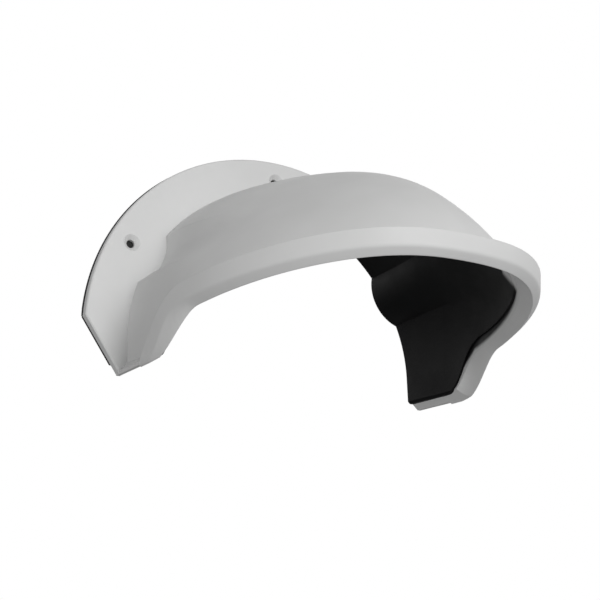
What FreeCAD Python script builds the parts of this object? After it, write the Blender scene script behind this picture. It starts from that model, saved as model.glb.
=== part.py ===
import FreeCAD, Part
import Sketcher
import math
import os

# Wall-mounted sun shield for a dome camera, as three pieces: the one-piece moulded
# shell (flange, hood and rim), the matt black liner inside the hood, and the foam
# gasket between the flange and the wall.
# Frame: millimetres, +Z up, +X to the right as seen from in front, the hood reaching
# out along -Y. The origin is the centre of the flange's arc on the wall plane, which
# is also the axis of the camera that the shield goes round.
# "Reach" below is the distance in front of the flange's back face.

Vector = FreeCAD.Vector

os.makedirs("parts", exist_ok=True)
doc = FreeCAD.newDocument("SunShield")

# Driving dimensions
DIMENSIONS = [
    ("gasket_depth", 2.5, "foam between the flange and the wall"),
    ("gasket_setback", 0.4, "gasket edge inside the flange edge"),
    ("gasket_foot_drop", 18.0, "gasket ends this far below the centre"),
    ("flange_depth", 5.0, "flange, front to back"),
    ("flange_radius", 138.6, "arc of the flange"),
    ("corner_height", 10.5, "where the arc ends, above the centre"),
    ("foot_margin", 4.9, "flange corner at the foot, beyond the side of the hood"),
    ("foot_drop", 24.8, "foot below the centre, at the wall"),
    ("flange_edge_chamfer", 0.8, "front edge of the flange"),
    ("screw_margin", 14.3, "screw holes, inside the arc"),
    ("screw_spread_angle", 60.0, "side screws from the top screw, degrees"),
    ("screw_hole_radius", 2.75, "hole for a 5 mm screw"),
    ("countersink_radius", 5.6, "mouth of the countersink"),
    ("side_margin", 28.3, "side of the hood, inside the arc"),
    ("hood_widening", 1.4, "draft of the sides over the straight run"),
    ("straight_run", 57.0, "reach over which the sides stay straight"),
    ("hood_reach", 205.5, "hood surface at its tip"),
    ("skin_end_gap", 3.5, "last section, short of the tip and hidden in the rim"),
    ("opening_drop", 62.0, "how far the cavity is cut below the centre"),
    ("opening_run", 30.0, "how far the cavity is cut out sideways under the feet"),
    ("crown_margin", 24.3, "top of the hood, inside the arc"),
    ("crown_fall_power", 1.65, "shape of the crown line, 2 is an ellipse"),
    ("root_roundness", 1.88, "section power at the flange, 2 is an ellipse"),
    ("visor_roundness", 1.47, "section power over the visor"),
    ("section_change_reach", 110.0, "reach by which the section has changed"),
    ("wall_thickness", 3.2, "moulded wall"),
    ("liner_thickness", 1.8, "black liner sheet"),
    ("relief_depth", 8.8, "driver relief beside each side screw"),
    ("relief_low_angle", 20.0, "lower edge of the relief, section degrees"),
    ("relief_high_angle", 39.5, "upper edge of the relief, section degrees"),
    ("relief_climb", 6.0, "how far both edges climb forward, degrees"),
    ("relief_fade_reach", 118.0, "reach at which the relief has faded out"),
    ("lip_height", 17.4, "where the foot lip starts, below the centre"),
    ("lip_width", 5.2, "foot lip, how far it flares out"),
    ("foot_slope", 0.056, "drop of the foot per millimetre of reach"),
    ("rim_start_reach", 36.0, "rear end of the rim on the foot"),
    ("rim_start_overlap", 2.0, "how far the hood wall runs on inside the rim there"),
    ("rim_foot_drop", 1.6, "rim below the underside of the foot"),
    ("rim_stand", 6.2, "rim upper line beyond the hood outline"),
    ("rim_ledge_rise", 3.0, "ledge from the rim upper line up to the hood"),
    ("rim_flare", 5.2, "rim bevel line beyond the hood outline"),
    ("rim_fill", 5.6, "how much fuller the rim is between its sides and its tip"),
    ("rim_front_flatness", 0.45, "how broadly the rim runs straight across its tip"),
    ("rim_tuck", 2.6, "how far the rim is tucked in at the tip"),
    ("rim_tip_lift", 0.7, "how much higher the front edge runs at the tip"),
    ("bevel_softness", 1.5, "length over which the bevel line is rounded, to each side"),
    ("rim_lip", 0.2, "front edge beyond the hood outline"),
    ("rim_foot_lip", 3.6, "the same on the foot"),
    ("front_slope", 0.077, "rise of the front edge per millimetre of reach"),
    ("front_edge_height", -5.1, "front edge where the visor begins"),
    ("visor_start_reach", 104.0, "where the visor begins"),
    ("edge_turn_start", 51.0, "front edge leaves the foot"),
    ("edge_turn_end", 96.0, "front edge reaches the visor"),
    ("bevel_turn_start", 43.0, "bevel line leaves the foot"),
    ("bevel_turn_end", 81.0, "bevel line reaches the visor"),
    ("rim_line_turn_end", 88.0, "rim upper line reaches the visor"),
    ("liner_turn_start", 42.0, "liner edge leaves the foot"),
    ("liner_turn_end", 78.0, "liner edge reaches the visor"),
    ("bevel_height", 4.3, "bevel line above the front edge"),
    ("rim_height", 15.6, "rim upper line above the front edge at the visor start"),
    ("rim_height_slope", -0.012, "change of the rim height per millimetre of reach"),
    ("inner_band_height", 12.0, "bare inner wall between front edge and liner"),
    ("liner_foot_drop", 21.0, "liner end on the foot, below the centre"),
]

# Dimensions that follow from the ones above
FOLLOWING = [
    ("screw_circle_radius", "=flange_radius - screw_margin", "screw holes, from the centre"),
    ("crown_height", "=flange_radius - crown_margin", "top of the hood at the flange"),
    ("hood_half_width", "=flange_radius - side_margin", "hood at the flange, from the centre line"),
    ("foot_half_width", "=hood_half_width + foot_margin", "flange corner at the foot"),
]

sheet = doc.addObject("Spreadsheet::Sheet", "Sizes")
for row, (alias, value, note) in enumerate(DIMENSIONS + FOLLOWING, start=1):
    sheet.set("A%d" % row, alias.replace("_", " "))
    sheet.set("B%d" % row, str(value))
    sheet.set("C%d" % row, note)
    sheet.setAlias("B%d" % row, alias)
doc.recompute()


def size(alias):
    """The value of one driving dimension."""
    return float(sheet.get(alias))


def place(across, reach, height):
    """A point of the shell: across from the centre line, out from the flange back, up."""
    return Vector(across, -size("gasket_depth") - reach, height)


def ease(reach, start, end):
    """0 before start, 1 past end, and a smooth S between."""
    part = min(max((reach - start) / (end - start), 0.0), 1.0)
    return part * part * (3.0 - 2.0 * part)


# Lines seen from the side, as heights over the reach

def foot_line(reach):
    """Underside of the foot."""
    return -size("foot_drop") - size("foot_slope") * reach


def front_line(reach):
    """The straight run of the front edge under the visor."""
    return size("front_edge_height") + size("front_slope") * (reach - size("visor_start_reach"))


def turn(reach, low, high, name):
    """A line that follows the foot, turns up in an S and follows the visor."""
    share = ease(reach, size(name + "_turn_start"), size(name + "_turn_end"))
    return low + (high - low) * share


def edge_height(reach):
    """Lowest line of the rim."""
    return turn(reach, foot_line(reach) - size("rim_foot_drop"), front_line(reach), "edge")


def bevel_height(reach):
    """Upper line of the bevel that runs along the front edge."""
    high = front_line(reach) + size("bevel_height")
    line = turn(reach, foot_line(reach) - size("rim_foot_drop"), high, "bevel")
    return max(line, edge_height(reach) + 0.25 * size("bevel_height"))


def rim_height(reach):
    """Upper line of the raised rim, which climbs from the foot at once and then eases."""
    start, end = size("rim_start_reach"), size("rim_line_turn_end")
    left = 1.0 - min(max((reach - start) / (end - start), 0.0), 1.0)
    above = size("rim_height") + size("rim_height_slope") * (reach - size("visor_start_reach"))
    high = front_line(reach) + above
    return high + (foot_line(reach) - high) * left * left


def ledge_height(reach):
    """Where the ledge above the rim meets the hood."""
    return rim_height(reach) + size("rim_ledge_rise")


def liner_height(reach):
    """Lower edge of the black liner, and upper end of the bare inner band."""
    low = -size("liner_foot_drop") - size("foot_slope") * reach
    high = front_line(reach) + size("inner_band_height")
    return turn(reach, low, high, "liner")


# Cross sections of the hood, for the outer skin (inset 0) and parallel skins inside it

def half_width(reach, inset):
    """Half the width of the hood outline at one reach."""
    draft = min(max(reach / size("straight_run"), 0.0), 1.0)
    widest = size("hood_half_width") + size("hood_widening") * draft - inset
    beyond = max(reach - size("straight_run"), 0.0)
    part = beyond / (size("hood_reach") - inset - size("straight_run"))
    return widest * math.sqrt(max(1.0 - part * part, 0.0))


def crown_height(reach, inset):
    """Height of the hood on the centre line at one reach."""
    part = min(max(reach, 0.0) / (size("hood_reach") - inset), 1.0)
    drop = part ** size("crown_fall_power")
    return (size("crown_height") - inset) * math.sqrt(1.0 - drop)


def section_power(reach):
    """Power of the section curve, lower over the visor, where the slopes are flatter."""
    change = ease(reach, 0.0, size("section_change_reach"))
    return size("root_roundness") + (size("visor_roundness") - size("root_roundness")) * change


def skin_point(degrees, reach, inset):
    """A point (across, height) of the section, 0 degrees at the side and 90 at the crown."""
    power = 2.0 / section_power(reach)
    angle = math.radians(degrees)
    across = half_width(reach, inset) * max(math.cos(angle), 0.0) ** power
    return across, crown_height(reach, inset) * math.sin(angle) ** power


def relief_point(reach, inset, low, high):
    """Deepest point of the driver relief between its lower and upper edge."""
    across, height = skin_point(0.5 * (low + high), reach, inset)
    depth = size("relief_depth") * (1.0 - ease(reach, 0.0, size("relief_fade_reach")))
    scale = 1.0 - depth / math.hypot(across, height)
    return across * scale, height * scale


def curve(points):
    """One smooth edge through the points."""
    spline = Part.BSplineCurve()
    spline.interpolate(points)
    return spline.toShape()


def section_wire(reach, inset, lip_run, floor):
    """Closed section of the hood: feet with their flared lip, sides, reliefs and crown."""
    climb = size("relief_climb") * ease(reach, 0.0, size("section_change_reach"))
    low = size("relief_low_angle") + climb
    high = size("relief_high_angle") + climb
    side = half_width(reach, inset)
    lip_top = -size("lip_height") - inset * (math.sqrt(2.0) - 1.0) - size("foot_slope") * max(reach, 0.0)
    half = [
        (side + lip_run, floor),
        (side + lip_run, lip_top - lip_run),
        (side, lip_top),
        (side, 0.0),
        skin_point(0.5 * low, reach, inset),
        skin_point(low, reach, inset),
        relief_point(reach, inset, low, high),
        skin_point(high, reach, inset),
    ]
    right = [place(across, reach, height) for across, height in half]
    left = [place(-across, reach, height) for across, height in half]
    steps = 5
    over = [skin_point(high + (90.0 - high) * step / steps, reach, inset) for step in range(steps)]
    crown = [place(across, reach, height) for across, height in over]
    crown += [place(-across, reach, height) for across, height in reversed(over)]
    edges = [
        Part.LineSegment(right[0], right[1]).toShape(),
        Part.LineSegment(right[1], right[2]).toShape(),
        Part.LineSegment(right[2], right[3]).toShape(),
        curve([right[3], right[4], right[5]]),
        Part.Arc(right[5], right[6], right[7]).toShape(),
        curve(crown),
        Part.Arc(left[7], left[6], left[5]).toShape(),
        curve([left[5], left[4], left[3]]),
        Part.LineSegment(left[3], left[2]).toShape(),
        Part.LineSegment(left[2], left[1]).toShape(),
        Part.LineSegment(left[1], left[0]).toShape(),
        Part.LineSegment(left[0], right[0]).toShape(),
    ]
    return Part.Wire(edges)


def add_shape(name, shape):
    """Put a shape into the document as a feature of its own."""
    feature = doc.addObject("Part::Feature", name)
    feature.Shape = shape
    return feature


def skin_solid(name, inset, lip_run):
    """Solid bounded by the skin at one inset, from behind the wall to short of the tip."""
    floor = -size("opening_drop")
    last = size("hood_reach") - inset - size("skin_end_gap")
    sections = 14
    behind = -2.0 * size("gasket_depth")
    reaches = [behind, 0.5 * behind]
    reaches += [last * math.sin(0.5 * math.pi * step / (sections - 1)) for step in range(sections)]
    wires = [section_wire(reach, inset, lip_run, floor) for reach in reaches]
    return add_shape(name, Part.makeLoft(wires, True, False))


def rise_points(line, start, end, steps):
    """Points of a side-view line at even reaches."""
    reaches = [start + (end - start) * step / steps for step in range(steps + 1)]
    return [place(0.0, reach, line(reach)) for reach in reaches]


def side_cut(name, lines):
    """Block that holds everything above a line seen from the side, across the whole width."""
    wide = 1.5 * size("flange_radius")
    top = 1.5 * size("crown_height")
    edges = list(lines)
    first = edges[0].Vertexes[0].Point
    last = edges[-1].Vertexes[-1].Point
    edges.append(Part.LineSegment(last, Vector(0, last.y, top)).toShape())
    edges.append(Part.LineSegment(Vector(0, last.y, top), Vector(0, first.y, top)).toShape())
    edges.append(Part.LineSegment(Vector(0, first.y, top), first).toShape())
    face = Part.Face(Part.Wire(edges))
    face.translate(Vector(-wide, 0, 0))
    return add_shape(name, face.extrude(Vector(2.0 * wide, 0, 0)))


def wall_trim_height(reach):
    """Lower end of the plain hood wall, hidden inside the rim."""
    ledge = ledge_height(reach)
    return max(0.5 * (edge_height(reach) + ledge), ledge - 0.5 * size("rim_height"))


def outline_point(station):
    """Point of the hood outline and its outward direction, as (across, reach) pairs.

    Stations 0 to 1 run forward along the straight side, 1 to 2 round the visor."""
    run = size("straight_run")
    if station < 1.0:
        reach = size("rim_start_reach") + (run - size("rim_start_reach")) * station
        return (half_width(reach, 0.0), reach), (1.0, 0.0)
    angle = 0.5 * math.pi * (station - 1.0)
    long_half = size("hood_reach") - run
    wide_half = size("hood_half_width") + size("hood_widening")
    point = (wide_half * math.cos(angle), run + long_half * math.sin(angle))
    across, ahead = math.cos(angle) / wide_half, math.sin(angle) / long_half
    length = math.hypot(across, ahead)
    return point, (across / length, ahead / length)


def inset_at(point, outward, height, inset):
    """How far the skin lies inside the outline at one height, along the outline's normal."""
    if height <= 0.0:
        return inset
    near, far = 0.0, 0.9 * size("hood_half_width")
    for _ in range(40):
        middle = 0.5 * (near + far)
        across = point[0] - middle * outward[0]
        reach = point[1] - middle * outward[1]
        side = half_width(reach, inset)
        crown = crown_height(reach, inset)
        power = section_power(reach)
        inside = side > 0.0 and crown > 0.0
        inside = inside and (abs(across) / side) ** power + (height / crown) ** power < 1.0
        if inside:
            far = middle
        else:
            near = middle
    return 0.5 * (near + far)


def rounding(before, corner, after, length):
    """Four points on a short rounding that takes the place of a corner."""
    start = corner + (before - corner) * min(length / before.distanceToPoint(corner), 0.4)
    end = corner + (after - corner) * min(length / after.distanceToPoint(corner), 0.4)
    first = (start * 4.0 + corner * 4.0 + end) * (1.0 / 9.0)
    second = (start + corner * 4.0 + end * 4.0) * (1.0 / 9.0)
    return [start, first, second, end]


def rim_section(station, mirror):
    """Closed section of the rim: upper line, rounded bevel line, front edge, inner wall."""
    point, outward = outline_point(station)
    reach = point[1]
    lip = size("rim_foot_lip")
    lip += (size("rim_lip") - lip) * ease(reach, size("rim_start_reach"), size("edge_turn_end"))
    aside = outward[0] ** 2 / math.hypot(outward[0], size("rim_front_flatness"))
    fill = size("rim_fill") * 2.0 * aside * outward[1] ** 3
    at_tip = outward[1] ** 6
    tuck = size("rim_tuck") * at_tip
    top = ledge_height(reach)
    inner = min(liner_height(reach), top - 0.12 * size("rim_height"))
    overlap = 0.15 * size("wall_thickness")
    behind_wall = 1.5 * size("wall_thickness")
    corners = [
        (-overlap - inset_at(point, outward, top, 0.0), top),
        (size("rim_stand") + fill - tuck, rim_height(reach)),
        (size("rim_flare") + fill - tuck, bevel_height(reach)),
        (lip + fill - tuck, edge_height(reach) + size("rim_tip_lift") * at_tip),
        (-inset_at(point, outward, inner, behind_wall), inner),
        (-inset_at(point, outward, top, behind_wall), top),
    ]
    points = []
    for out, height in corners:
        across = point[0] + out * outward[0]
        points.append(place(across * mirror, reach + out * outward[1], height))
    points[2:3] = rounding(points[1], points[2], points[3], size("bevel_softness"))
    return Part.makePolygon(points + points[:1])


outer_skin = skin_solid("OuterSkin", 0.0, size("lip_width"))
cavity = skin_solid("Cavity", size("wall_thickness"), size("opening_run"))
liner_face = size("wall_thickness") + size("liner_thickness")
liner_inside = skin_solid("LinerInside", liner_face, size("opening_run"))

# Hood wall: the skin above its hidden lower end
overlap_reach = size("rim_start_reach") + size("rim_start_overlap")
beyond = size("hood_reach") + size("rim_flare")
foot_edge = Part.LineSegment(place(0, 0, foot_line(0)),
                             place(0, overlap_reach, foot_line(overlap_reach))).toShape()
step_up = Part.LineSegment(place(0, overlap_reach, foot_line(overlap_reach)),
                           place(0, overlap_reach, wall_trim_height(overlap_reach))).toShape()
trim_edge = curve(rise_points(wall_trim_height, overlap_reach, beyond, 16))
above_trim = side_cut("AboveTrim", [foot_edge, step_up, trim_edge])
hood_wall = doc.addObject("Part::Common", "HoodWall")
hood_wall.Base = outer_skin
hood_wall.Tool = above_trim

# Rim: one lofted band from foot to foot round the visor
side_steps = 6
front_steps = 26
stations = [step / side_steps for step in range(side_steps)]
stations += [1.0 + step / front_steps for step in range(front_steps + 1)]
sections = [rim_section(station, -1.0) for station in stations]
sections += [rim_section(station, 1.0) for station in reversed(stations[:-1])]
rim = add_shape("Rim", Part.makeLoft(sections, True, False))


def flange_body(name, depth_alias, front_of_wall, setback_alias):
    """Plate in the outline of the flange, drawn on the wall plane and padded forward."""
    body = doc.addObject("PartDesign::Body", name)
    plane = [item for item in body.Origin.OriginFeatures if item.Role == "XZ_Plane"][0]
    sketch = body.newObject("Sketcher::SketchObject", name + "Outline")
    sketch.AttachmentSupport = [(plane, "")]
    sketch.MapMode = "FlatFace"
    radius = size("flange_radius")
    rise = size("corner_height")
    start = math.asin(rise / radius)
    edge_x = radius * math.cos(start)
    foot_x, foot_z = size("foot_half_width"), -size("foot_drop")
    circle = Part.Circle(Vector(0, 0, 0), Vector(0, 0, 1), radius)
    sketch.addGeometry(Part.ArcOfCircle(circle, start, math.pi - start), False)
    sketch.addGeometry(Part.LineSegment(Vector(-edge_x, rise, 0), Vector(-foot_x, foot_z, 0)), False)
    sketch.addGeometry(Part.LineSegment(Vector(-foot_x, foot_z, 0), Vector(foot_x, foot_z, 0)), False)
    sketch.addGeometry(Part.LineSegment(Vector(foot_x, foot_z, 0), Vector(edge_x, rise, 0)), False)
    rule = Sketcher.Constraint
    sketch.addConstraint(rule("Coincident", 0, 3, -1, 1))
    sketch.addConstraint(rule("Coincident", 0, 2, 1, 1))
    sketch.addConstraint(rule("Coincident", 1, 2, 2, 1))
    sketch.addConstraint(rule("Coincident", 2, 2, 3, 1))
    sketch.addConstraint(rule("Coincident", 3, 2, 0, 1))
    sketch.addConstraint(rule("Symmetric", 0, 1, 0, 2, -2))
    sketch.addConstraint(rule("Symmetric", 2, 1, 2, 2, -2))
    named = [
        ("arc", rule("Radius", 0, radius), "Sizes.flange_radius"),
        ("corner", rule("DistanceY", -1, 1, 0, 1, rise), "Sizes.corner_height"),
        ("foot", rule("DistanceX", 2, 1, 2, 2, 2.0 * foot_x), "2 * Sizes.foot_half_width"),
        ("drop", rule("DistanceY", 2, 1, -1, 1, -foot_z), "Sizes.foot_drop"),
    ]
    offsets = {"arc": " - Sizes.%s", "foot": " - 2 * Sizes.%s"}
    for label, constraint, expression in named:
        index = sketch.addConstraint(constraint)
        sketch.renameConstraint(index, label)
        if setback_alias and label in offsets:
            expression += offsets[label] % setback_alias
        sketch.setExpression("Constraints." + label, expression)
    pad = body.newObject("PartDesign::Pad", name + "Pad")
    pad.Profile = sketch
    pad.setExpression("Length", "Sizes." + depth_alias)
    if front_of_wall:
        body.setExpression("Placement.Base.y", "-Sizes.gasket_depth")
    doc.recompute()
    return body, pad


def screw_tools(name):
    """Cutters for the three countersunk holes, spread to both sides of the top one."""
    slant = "(Sizes.countersink_radius - Sizes.screw_hole_radius)"
    tools = []
    for index, side in enumerate((-1, 0, 1)):
        angle = "(%d * Sizes.screw_spread_angle)" % side
        drill = doc.addObject("Part::Cylinder", "%sDrill%d" % (name, index + 1))
        drill.setExpression("Radius", "Sizes.screw_hole_radius")
        drill.setExpression("Height", "2 * (Sizes.gasket_depth + Sizes.flange_depth)")
        drill.setExpression("Placement.Base.y", "0.5 * (Sizes.gasket_depth + Sizes.flange_depth)")
        sink = doc.addObject("Part::Cone", "%sSink%d" % (name, index + 1))
        sink.setExpression("Radius1", "Sizes.screw_hole_radius")
        sink.setExpression("Radius2", "Sizes.countersink_radius + " + slant)
        sink.setExpression("Height", "2 * " + slant)
        sink.setExpression("Placement.Base.y", slant + " - Sizes.gasket_depth - Sizes.flange_depth")
        for tool in (drill, sink):
            tool.Placement.Rotation = FreeCAD.Rotation(Vector(1, 0, 0), 90)
            tool.setExpression("Placement.Base.x", "Sizes.screw_circle_radius * sin(%s)" % angle)
            tool.setExpression("Placement.Base.z", "Sizes.screw_circle_radius * cos(%s)" % angle)
        tools += [drill, sink]
    fused = doc.addObject("Part::MultiFuse", name)
    fused.Shapes = tools
    return fused


def cut(name, base, tool):
    """Base with the tool taken away."""
    feature = doc.addObject("Part::Cut", name)
    feature.Base = base
    feature.Tool = tool
    return feature


# Shell: flange, hood wall and rim moulded as one, hollowed by the cavity
flange, flange_pad = flange_body("Flange", "flange_depth", True, None)
front = [
    "Edge%d" % (index + 1)
    for index, edge in enumerate(flange_pad.Shape.Edges)
    if max(abs(vertex.Point.y + size("flange_depth")) for vertex in edge.Vertexes) < 1e-6
]
chamfer = flange.newObject("PartDesign::Chamfer", "FlangeFrontChamfer")
chamfer.Base = (flange_pad, front)
chamfer.setExpression("Size", "Sizes.flange_edge_chamfer")
flange.Tip = chamfer
blank = doc.addObject("Part::MultiFuse", "ShellBlank")
blank.Shapes = [flange, hood_wall, rim]
hollow = cut("ShellHollow", blank, cavity)
screws = screw_tools("ScrewHoles")
hood_shell = cut("HoodShell", hollow, screws)
hood_shell.Label = "hood_shell"

# Liner: a formed black sheet that follows the inside of the hood
liner_edge = curve(rise_points(liner_height, 0.0, beyond, 18))
above_liner = side_cut("AboveLiner", [liner_edge])
liner_sheet = cut("LinerSheet", cavity, liner_inside)
inner_liner = doc.addObject("Part::Common", "InnerLiner")
inner_liner.Base = liner_sheet
inner_liner.Tool = above_liner
inner_liner.Label = "inner_liner"

# Gasket: plain foam sheet behind the flange, ending above the foot, which the screws
# are driven through
gasket_sheet, gasket_pad = flange_body("GasketSheet", "gasket_depth", False, "gasket_setback")
gasket_open = cut("GasketOpen", gasket_sheet, cavity)
gasket_end = doc.addObject("Part::Box", "GasketEnd")
gasket_end.setExpression("Length", "3 * Sizes.flange_radius")
gasket_end.setExpression("Width", "3 * Sizes.gasket_depth")
gasket_end.setExpression("Height", "Sizes.flange_radius")
gasket_end.setExpression("Placement.Base.x", "-1.5 * Sizes.flange_radius")
gasket_end.setExpression("Placement.Base.y", "-2 * Sizes.gasket_depth")
gasket_end.setExpression("Placement.Base.z", "-Sizes.flange_radius - Sizes.gasket_foot_drop")
wall_gasket = cut("WallGasket", gasket_open, gasket_end)
wall_gasket.Label = "wall_gasket"

doc.recompute()

for item in doc.Objects:
    if "Invalid" in item.State or "Error" in item.State:
        raise RuntimeError("%s did not build" % item.Label)

for sub_part in (hood_shell, inner_liner, wall_gasket):
    shape = sub_part.Shape
    if shape.isNull() or not shape.isValid():
        raise RuntimeError("%s has no valid shape" % sub_part.Label)
    shape.exportStep("parts/%s.step" % sub_part.Label)
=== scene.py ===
import bpy
import math
import numpy as np
from mathutils import Matrix, Vector


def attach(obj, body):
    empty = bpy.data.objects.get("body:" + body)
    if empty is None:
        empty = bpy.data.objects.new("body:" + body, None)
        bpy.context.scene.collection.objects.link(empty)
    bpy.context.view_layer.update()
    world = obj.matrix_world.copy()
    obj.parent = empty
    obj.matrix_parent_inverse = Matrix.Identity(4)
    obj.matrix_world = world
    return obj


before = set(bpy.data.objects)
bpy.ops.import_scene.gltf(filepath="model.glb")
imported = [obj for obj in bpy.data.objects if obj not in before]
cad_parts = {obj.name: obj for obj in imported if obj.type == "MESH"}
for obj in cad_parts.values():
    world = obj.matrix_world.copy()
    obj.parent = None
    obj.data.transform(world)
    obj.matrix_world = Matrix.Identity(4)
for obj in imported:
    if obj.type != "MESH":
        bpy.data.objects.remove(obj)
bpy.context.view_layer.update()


# Shell: flange, hood and raised rim are one moulding in light grey weatherproof
# plastic about 3 mm thick, with a fine satin skin that has dulled a little outdoors.
# It is fixed flat to the wall with three countersunk screws.

crease_degrees = 17         # an edge that bends more than this stays a crisp corner
weld_gap = 0.000004         # metres, between corners of loose triangles that are one
corner_radius = 0.0007      # metres, of the moulding's corners as the light shows them
corner_samples = 8
noise_low, noise_high = 0.3, 0.7

plastic_dark, plastic_light = (0.605, 0.607, 0.603), (0.652, 0.653, 0.651)
black_dark, black_light = (0.0022, 0.0022, 0.0024), (0.0036, 0.0036, 0.0039)

# Where the black ends, in metres and in slopes. At the tip it ends on a curve, at the
# sides on two slanted lines, and on the shell it stays off the foot's lip.
tip_bend, tip_reach = 6.46, 0.187
sheet_slope, sheet_reach = 0.86, 0.2053
side_slope, side_drop = 0.1306, 0.01009
foot_slope, foot_drop = 0.66, 0.0505
foot_reach = 0.060
inner_face = 0.03
half_fade = 0.0015


def smooth_skin(piece):
    """Joins the loose triangles and shades across every edge that bends less than
    crease_degrees, so that the moulded curves show no facets and the corners stay."""
    name = "moulded_skin_%d" % crease_degrees
    tree = bpy.data.node_groups.get(name)
    if tree is None:
        tree = bpy.data.node_groups.new(name, "GeometryNodeTree")
        for direction in ("INPUT", "OUTPUT"):
            tree.interface.new_socket("Geometry", in_out=direction,
                                      socket_type="NodeSocketGeometry")
        start = tree.nodes.new("NodeGroupInput")
        weld = tree.nodes.new("GeometryNodeMergeByDistance")
        weld.inputs["Distance"].default_value = weld_gap
        bend = tree.nodes.new("GeometryNodeInputMeshEdgeAngle")
        gentle = tree.nodes.new("FunctionNodeCompare")
        gentle.data_type = "FLOAT"
        gentle.operation = "LESS_THAN"
        gentle.inputs[1].default_value = math.radians(crease_degrees)
        faces = tree.nodes.new("GeometryNodeSetShadeSmooth")
        faces.domain = "FACE"
        edges = tree.nodes.new("GeometryNodeSetShadeSmooth")
        edges.domain = "EDGE"
        end = tree.nodes.new("NodeGroupOutput")
        tree.links.new(start.outputs[0], weld.inputs["Geometry"])
        tree.links.new(weld.outputs["Geometry"], faces.inputs["Geometry"])
        tree.links.new(faces.outputs["Geometry"], edges.inputs["Geometry"])
        tree.links.new(bend.outputs["Unsigned Angle"], gentle.inputs[0])
        tree.links.new(gentle.outputs["Result"], edges.inputs["Shade Smooth"])
        tree.links.new(edges.outputs["Geometry"], end.inputs[0])
    piece.modifiers.new("moulded_skin", "NODES").node_group = tree


def dress(node, finish):
    """Gives a piece of the frame its finish and its smooth skin."""
    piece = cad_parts[node]
    piece.data.materials.clear()
    piece.data.materials.append(finish)
    smooth_skin(piece)


def new_finish(name):
    """An empty node material: its tree, shader and object coordinates."""
    finish = bpy.data.materials.new(name)
    finish.use_nodes = True
    tree = finish.node_tree
    shader = tree.nodes["Principled BSDF"]
    place = tree.nodes.new("ShaderNodeTexCoord").outputs["Object"]
    return finish, tree, shader, place


def mottle(tree, place, scale, detail, low=0.0, high=1.0):
    """Noise of about 1/scale metres a cell. Its middle range, from noise_low to
    noise_high, is spread over low to high."""
    noise = tree.nodes.new("ShaderNodeTexNoise")
    noise.inputs["Scale"].default_value = scale
    noise.inputs["Detail"].default_value = detail
    spread = tree.nodes.new("ShaderNodeMapRange")
    spread.inputs["From Min"].default_value = noise_low
    spread.inputs["From Max"].default_value = noise_high
    spread.inputs["To Min"].default_value = low
    spread.inputs["To Max"].default_value = high
    tree.links.new(place, noise.inputs["Vector"])
    tree.links.new(noise.outputs["Fac"], spread.inputs["Value"])
    return spread.outputs["Result"]


def tint(tree, amount, dark, light):
    """Colour = dark + amount * (light - dark), for an amount from 0 to 1."""
    blend = tree.nodes.new("ShaderNodeMix")
    blend.data_type = "RGBA"
    blend.inputs["A"].default_value = (*dark, 1)
    blend.inputs["B"].default_value = (*light, 1)
    tree.links.new(amount, blend.inputs["Factor"])
    return blend.outputs["Result"]


def two_colours(tree, share, first, second):
    """Colour = first + share * (second - first), where both come from other nodes."""
    blend = tree.nodes.new("ShaderNodeMix")
    blend.data_type = "RGBA"
    tree.links.new(share, blend.inputs["Factor"])
    tree.links.new(first, blend.inputs["A"])
    tree.links.new(second, blend.inputs["B"])
    return blend.outputs["Result"]


def relief(tree, height, depth, strength, under=None):
    """Bump of that depth in metres, laid over the one under it."""
    bump = tree.nodes.new("ShaderNodeBump")
    bump.inputs["Distance"].default_value = depth
    bump.inputs["Strength"].default_value = strength
    tree.links.new(height, bump.inputs["Height"])
    if under is not None:
        tree.links.new(under, bump.inputs["Normal"])
    return bump.outputs["Normal"]


def worked_out(tree, kind, first, second):
    """One sum, product, least or greatest of two amounts, each a socket or a number."""
    step = tree.nodes.new("ShaderNodeMath")
    step.operation = kind
    for slot, amount in enumerate((first, second)):
        if isinstance(amount, float):
            step.inputs[slot].default_value = amount
        else:
            tree.links.new(amount, step.inputs[slot])
    return step.outputs[0]


def above_line(tree, along, up, slope, drop):
    """Height above a slanted line: up + slope * along + drop, in metres."""
    leaning = worked_out(tree, "MULTIPLY", along, slope)
    return worked_out(tree, "ADD", worked_out(tree, "ADD", up, leaning), drop)


def behind_tip(tree, place):
    """Distance behind the front end of the black, and the three coordinates. The end is
    the curve y = tip_bend * x * x - tip_reach, and further down, where that lies further
    back, the sheet y = tip_bend * x * x + sheet_slope * z - sheet_reach."""
    split = tree.nodes.new("ShaderNodeSeparateXYZ")
    tree.links.new(place, split.inputs[0])
    across, along, up = split.outputs
    squared = worked_out(tree, "MULTIPLY", across, across)
    bend = worked_out(tree, "MULTIPLY", squared, -tip_bend)
    slanted = worked_out(tree, "MULTIPLY", up, -sheet_slope)
    sheet = worked_out(tree, "ADD", slanted, sheet_reach)
    front = worked_out(tree, "ADD", worked_out(tree, "MAXIMUM", sheet, tip_reach), bend)
    return worked_out(tree, "ADD", along, front), across, along, up


def faded(tree, distance):
    """Smooth step from 0 to 1 as a distance goes from -half_fade to half_fade."""
    fade = tree.nodes.new("ShaderNodeMapRange")
    fade.interpolation_type = "SMOOTHSTEP"
    fade.inputs["From Min"].default_value = -half_fade
    fade.inputs["From Max"].default_value = half_fade
    tree.links.new(distance, fade.inputs["Value"])
    return fade.outputs["Result"]


def plastic_and_black(tree, weathering, share):
    """Colour of the grey plastic, and of the black where the share is 1."""
    return two_colours(tree, share, tint(tree, weathering, plastic_dark, plastic_light),
                       tint(tree, weathering, black_dark, black_light))


shell_finish, tree, shader, place = new_finish("shell_plastic")

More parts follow.
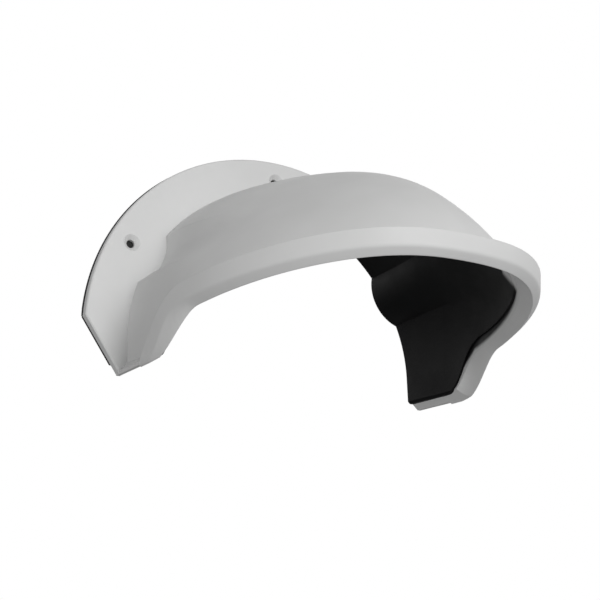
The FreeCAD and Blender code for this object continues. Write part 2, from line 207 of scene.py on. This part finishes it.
# The black reaches past the liner's edge on to the inner band of the shell's sides. The
# faces there look inwards: x times the x of their normal is below -inner_face.
behind, across, along, up = behind_tip(tree, place)
over_side = worked_out(tree, "MAXIMUM",
                       above_line(tree, along, up, side_slope, side_drop),
                       above_line(tree, along, up, foot_slope, foot_drop))
before_foot = worked_out(tree, "SUBTRACT", -foot_reach, along)
over_side = worked_out(tree, "MINIMUM", over_side, before_foot)
facing = tree.nodes.new("ShaderNodeSeparateXYZ")
geometry = tree.nodes.new("ShaderNodeNewGeometry")
tree.links.new(geometry.outputs["Normal"], facing.inputs[0])
outward = worked_out(tree, "MULTIPLY", across, facing.outputs[0])
inward = worked_out(tree, "LESS_THAN", outward, -inner_face)
within = faded(tree, worked_out(tree, "MINIMUM", behind, over_side))
painted = worked_out(tree, "MULTIPLY", within, inward)

weathering = mottle(tree, place, scale=14.0, detail=5.0)
tree.links.new(plastic_and_black(tree, weathering, painted), shader.inputs["Base Color"])
dulled = mottle(tree, place, scale=60.0, detail=6.0, low=0.54, high=0.66)
tree.links.new(dulled, shader.inputs["Roughness"])
softened = tree.nodes.new("ShaderNodeBevel")
softened.samples = corner_samples
softened.inputs["Radius"].default_value = corner_radius
flow = relief(tree, mottle(tree, place, scale=22.0, detail=2.0),
              depth=0.0006, strength=0.10, under=softened.outputs["Normal"])
grain = relief(tree, mottle(tree, place, scale=2600.0, detail=2.0),
               depth=0.00004, strength=0.35, under=flow)
tree.links.new(grain, shader.inputs["Normal"])
shader.inputs["IOR"].default_value = 1.45
dress("hood_shell", shell_finish)


# Liner: a thin sheet of dull black plastic formed to the inside of the hood, so that
# no light is thrown about under the hood. It lies on the hood's inner face all over.

liner_finish, tree, shader, place = new_finish("liner_black")
weathering = mottle(tree, place, scale=18.0, detail=4.0)
behind = behind_tip(tree, place)[0]
tree.links.new(plastic_and_black(tree, weathering, faded(tree, behind)),
               shader.inputs["Base Color"])
dulled = mottle(tree, place, scale=40.0, detail=4.0, low=0.46, high=0.58)
tree.links.new(dulled, shader.inputs["Roughness"])
grain = relief(tree, mottle(tree, place, scale=1500.0, detail=3.0),
               depth=0.0001, strength=0.5)
tree.links.new(grain, shader.inputs["Normal"])
shader.inputs["Specular IOR Level"].default_value = 0.09
dress("inner_liner", liner_finish)


# Gasket: black closed-cell foam, die cut to the flange's outline, which keeps rain
# from running down the wall behind the flange.

foam_dark, foam_light = (0.012, 0.012, 0.012), (0.022, 0.022, 0.022)

gasket_finish, tree, shader, place = new_finish("gasket_foam")
cells = tree.nodes.new("ShaderNodeTexVoronoi")
cells.inputs["Scale"].default_value = 1400.0
tree.links.new(place, cells.inputs["Vector"])
tree.links.new(tint(tree, cells.outputs["Distance"], foam_dark, foam_light),
               shader.inputs["Base Color"])
tree.links.new(relief(tree, cells.outputs["Distance"], depth=0.0003, strength=0.7),
               shader.inputs["Normal"])
shader.inputs["Roughness"].default_value = 0.9
dress("wall_gasket", gasket_finish)


# Bead: along the flange's arc the soft foam is squeezed out by about half a millimetre,
# and shows as a fine black line. It is the foam's own edge, between flange and wall.

def squeezed_edge(name, arc, inner, proud, thickness, lowest, top, widest,
                  rows=241, columns=11, roundness=0.6, fill=0.92):
    """Closed bead round an arc. For an angle a from lowest to its mirror and a turn t
    from 0 to pi, radius = inner + (arc - inner + proud) * sin(t) ** roundness and depth
    = -thickness / 2 * (1 + fill * cos(t)), cut flat at the top and the widest place."""
    angle, turn = np.meshgrid(np.linspace(lowest, math.pi - lowest, rows),
                              np.linspace(0.0, math.pi, columns), indexing="ij")
    swelling = np.sin(turn).clip(0.0, 1.0) ** roundness
    radius = inner + (arc - inner + proud) * swelling
    across = (radius * np.cos(angle)).clip(-widest, widest)
    up = (radius * np.sin(angle)).clip(-top, top)
    depth = -0.5 * thickness * (1.0 + fill * np.cos(turn))
    points = np.stack([across, depth, up], axis=-1).reshape(-1, 3)
    row, column = np.meshgrid(np.arange(rows - 1), np.arange(columns), indexing="ij")
    here, beside = row * columns + column, row * columns + (column + 1) % columns
    quads = np.stack([here, beside, beside + columns, here + columns], axis=-1)
    ends = [list(range(columns - 1, -1, -1)),
            list(range((rows - 1) * columns, rows * columns))]
    data = bpy.data.meshes.new(name)
    data.from_pydata(points.tolist(), [], quads.reshape(-1, 4).tolist() + ends)
    data.polygons.foreach_set("use_smooth", [True] * len(data.polygons))
    piece = bpy.data.objects.new(name, data)
    bpy.context.scene.collection.objects.link(piece)
    return piece


bead = squeezed_edge("foam_bead", arc=0.1386, inner=0.1379, proud=0.0006,
                     thickness=0.0025, lowest=math.radians(4.6), top=0.1386,
                     widest=0.1382)
bead.data.materials.append(gasket_finish)
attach(bead, "root")


# Studio: a wide pale floor well below the shield, a white surround, a large soft lamp
# in front and a weaker one at the lower left.

sky_level = 0.27
floor_reach, floor_height = 40.0, -1.0      # metres
floor_grey, floor_glow = 0.60, 0.62

world = bpy.data.worlds.new("studio")
bpy.context.scene.world = world
world.use_nodes = True
tree = world.node_tree
sky = tree.nodes["Background"]
sky.inputs["Color"].default_value = (1, 1, 1, 1)
sky.inputs["Strength"].default_value = sky_level
white = tree.nodes.new("ShaderNodeBackground")
white.inputs["Color"].default_value = (1, 1, 1, 1)
white.inputs["Strength"].default_value = 1.0
rays = tree.nodes.new("ShaderNodeLightPath")
mirrored = worked_out(tree, "MAXIMUM", rays.outputs["Is Glossy Ray"],
                      rays.outputs["Is Transmission Ray"])
shown_white = worked_out(tree, "MAXIMUM", rays.outputs["Is Camera Ray"], mirrored)
surround = tree.nodes.new("ShaderNodeMixShader")
tree.links.new(shown_white, surround.inputs["Fac"])
tree.links.new(sky.outputs[0], surround.inputs[1])
tree.links.new(white.outputs[0], surround.inputs[2])
tree.links.new(surround.outputs[0], tree.nodes["World Output"].inputs["Surface"])

floor_data = bpy.data.meshes.new("studio_floor")
floor_data.from_pydata([(-floor_reach, -floor_reach, floor_height),
                        (floor_reach, -floor_reach, floor_height),
                        (floor_reach, floor_reach, floor_height),
                        (-floor_reach, floor_reach, floor_height)], [], [(0, 1, 2, 3)])
floor = bpy.data.objects.new("studio_floor", floor_data)
bpy.context.scene.collection.objects.link(floor)
floor_finish, tree, shader, place = new_finish("pale_floor")
shader.inputs["Base Color"].default_value = (floor_grey, floor_grey, floor_grey, 1)
shader.inputs["Roughness"].default_value = 0.9
shader.inputs["Specular IOR Level"].default_value = 0.0
glow = tree.nodes.new("ShaderNodeEmission")
glow.inputs["Strength"].default_value = floor_glow
lifted = tree.nodes.new("ShaderNodeAddShader")
rays = tree.nodes.new("ShaderNodeLightPath")
shown = tree.nodes.new("ShaderNodeMixShader")
tree.links.new(shader.outputs["BSDF"], lifted.inputs[0])
tree.links.new(glow.outputs["Emission"], lifted.inputs[1])
tree.links.new(rays.outputs["Is Camera Ray"], shown.inputs["Fac"])
tree.links.new(shader.outputs["BSDF"], shown.inputs[1])
tree.links.new(lifted.outputs["Shader"], shown.inputs[2])
tree.links.new(shown.outputs["Shader"], tree.nodes["Material Output"].inputs["Surface"])
floor_data.materials.append(floor_finish)

shield_middle = Vector((0.0, -0.08, 0.04))


def soft_lamp(name, spot, size, power):
    """A square soft lamp at a spot in metres, aimed at the middle of the shield."""
    data = bpy.data.lights.new(name, "AREA")
    data.shape = "SQUARE"
    data.size = size
    data.energy = power
    lamp = bpy.data.objects.new(name, data)
    bpy.context.scene.collection.objects.link(lamp)
    lamp.location = spot
    aim = shield_middle - Vector(spot)
    lamp.rotation_euler = aim.to_track_quat("-Z", "Y").to_euler()


soft_lamp("key_lamp", spot=(0.02, -2.28, 0.26), size=1.0, power=32.0)
soft_lamp("fill_lamp", spot=(-1.85, -0.60, -0.38), size=0.9, power=7.0)


# Camera: below the shield and to its left, turned a little on its own axis, at the
# distance that gives the flange and the rim their sizes in the picture.

turned, raised = math.radians(-31.8), math.radians(-17.835)
lean = math.radians(-1.842)
looked_at, distance = Vector((0.019306, -0.0025, 0.043151)), 0.918476
film_width, focal_length = 36.0, 80.97      # millimetres

back = Vector((math.sin(turned) * math.cos(raised), -math.cos(turned) * math.cos(raised),
               math.sin(raised)))
level = Vector((math.cos(turned), math.sin(turned), 0.0))
upward = back.cross(level)
picture_right = level * math.cos(lean) + upward * math.sin(lean)
picture_up = upward * math.cos(lean) - level * math.sin(lean)
camera_data = bpy.data.cameras.new("photo_camera")
camera_data.sensor_width = film_width
camera_data.lens = focal_length
camera = bpy.data.objects.new("photo_camera", camera_data)
bpy.context.scene.collection.objects.link(camera)
axes = Matrix((picture_right, picture_up, back)).transposed().to_4x4()
camera.matrix_world = Matrix.Translation(looked_at + back * distance) @ axes
bpy.context.scene.camera = camera
bpy.context.scene.view_settings.view_transform = "Standard"
